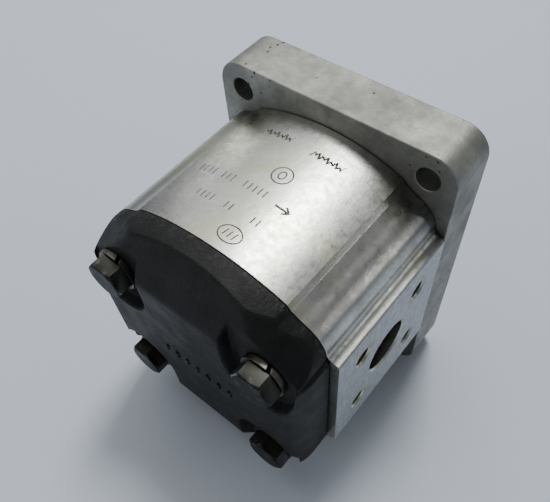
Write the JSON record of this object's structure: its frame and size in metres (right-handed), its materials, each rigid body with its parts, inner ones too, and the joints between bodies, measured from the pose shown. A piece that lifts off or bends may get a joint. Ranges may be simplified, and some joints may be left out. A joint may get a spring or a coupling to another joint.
{
  "type": "hydraulic gear pump",
  "caption": "External gear pump: extruded body between a rectangular mounting flange and a dark cast cover, side ports, keyed taper drive shaft.",
  "frame": {"origin": "middle of the pump's box at its lowest level, the flange's lower edge", "axes": "+Y along the drive shaft towards the drive end, +Z from the idler shaft to the drive shaft, +X towards one port"},
  "size_m": [0.0918, 0.1346, 0.115],
  "materials": {
    "flange_aluminium": "matt, fine machining lines",
    "body_aluminium": "satin extrusion",
    "block_aluminium": "turned",
    "cover_paint": "black semi-gloss over casting",
    "bolt_steel": "dark phosphate with worn edges",
    "washer_steel": "plain",
    "ground_steel": "ground",
    "bearing_bronze": "sintered bronze",
    "seal_rubber": "matt"
  },
  "bodies": {
    "housing": {"mounting_flange": "flange_aluminium", "pump_body": "body_aluminium", "rear_cover": "cover_paint", "cover_bolt_1": "bolt_steel", "cover_bolt_2": "bolt_steel", "cover_bolt_3": "bolt_steel", "cover_bolt_4": "bolt_steel", "spring_washer_1": "washer_steel", "spring_washer_2": "washer_steel", "spring_washer_3": "washer_steel", "spring_washer_4": "washer_steel", "dowel_front_1": "ground_steel", "dowel_front_2": "ground_steel", "dowel_rear_1": "ground_steel", "dowel_rear_2": "ground_steel", "bearing_block_front": "block_aluminium", "liner_drive_front": "bearing_bronze", "liner_idler_front": "bearing_bronze", "seal_body_front": "seal_rubber", "seal_pressure_front": "seal_rubber", "bearing_block_rear": "block_aluminium", "liner_drive_rear": "bearing_bronze", "liner_idler_rear": "bearing_bronze", "seal_body_rear": "seal_rubber", "seal_pressure_rear": "seal_rubber", "shaft_seal": "seal_rubber", "seal_circlip": "ground_steel"},
    "drive": {"drive_gear_shaft": "ground_steel", "shaft_key": "ground_steel", "shaft_washer": "washer_steel", "shaft_nut": "bolt_steel"},
    "idler": {"idler_gear_shaft": "ground_steel"}
  },
  "joints": [
    {"name": "drive_spin", "type": "hinge", "parent": "housing", "child": "drive", "pos_m": [0, 0.0093, 0.0731], "axis": [0, 1, 0], "continuous": true},
    {"name": "idler_spin", "type": "hinge", "parent": "housing", "child": "idler", "pos_m": [0, 0.0093, 0.0419], "axis": [0, 1, 0], "continuous": true}
  ],
  "couplings": [
    {"joint": "idler_spin", "follows": "drive_spin", "ratio": -1}
  ]
}
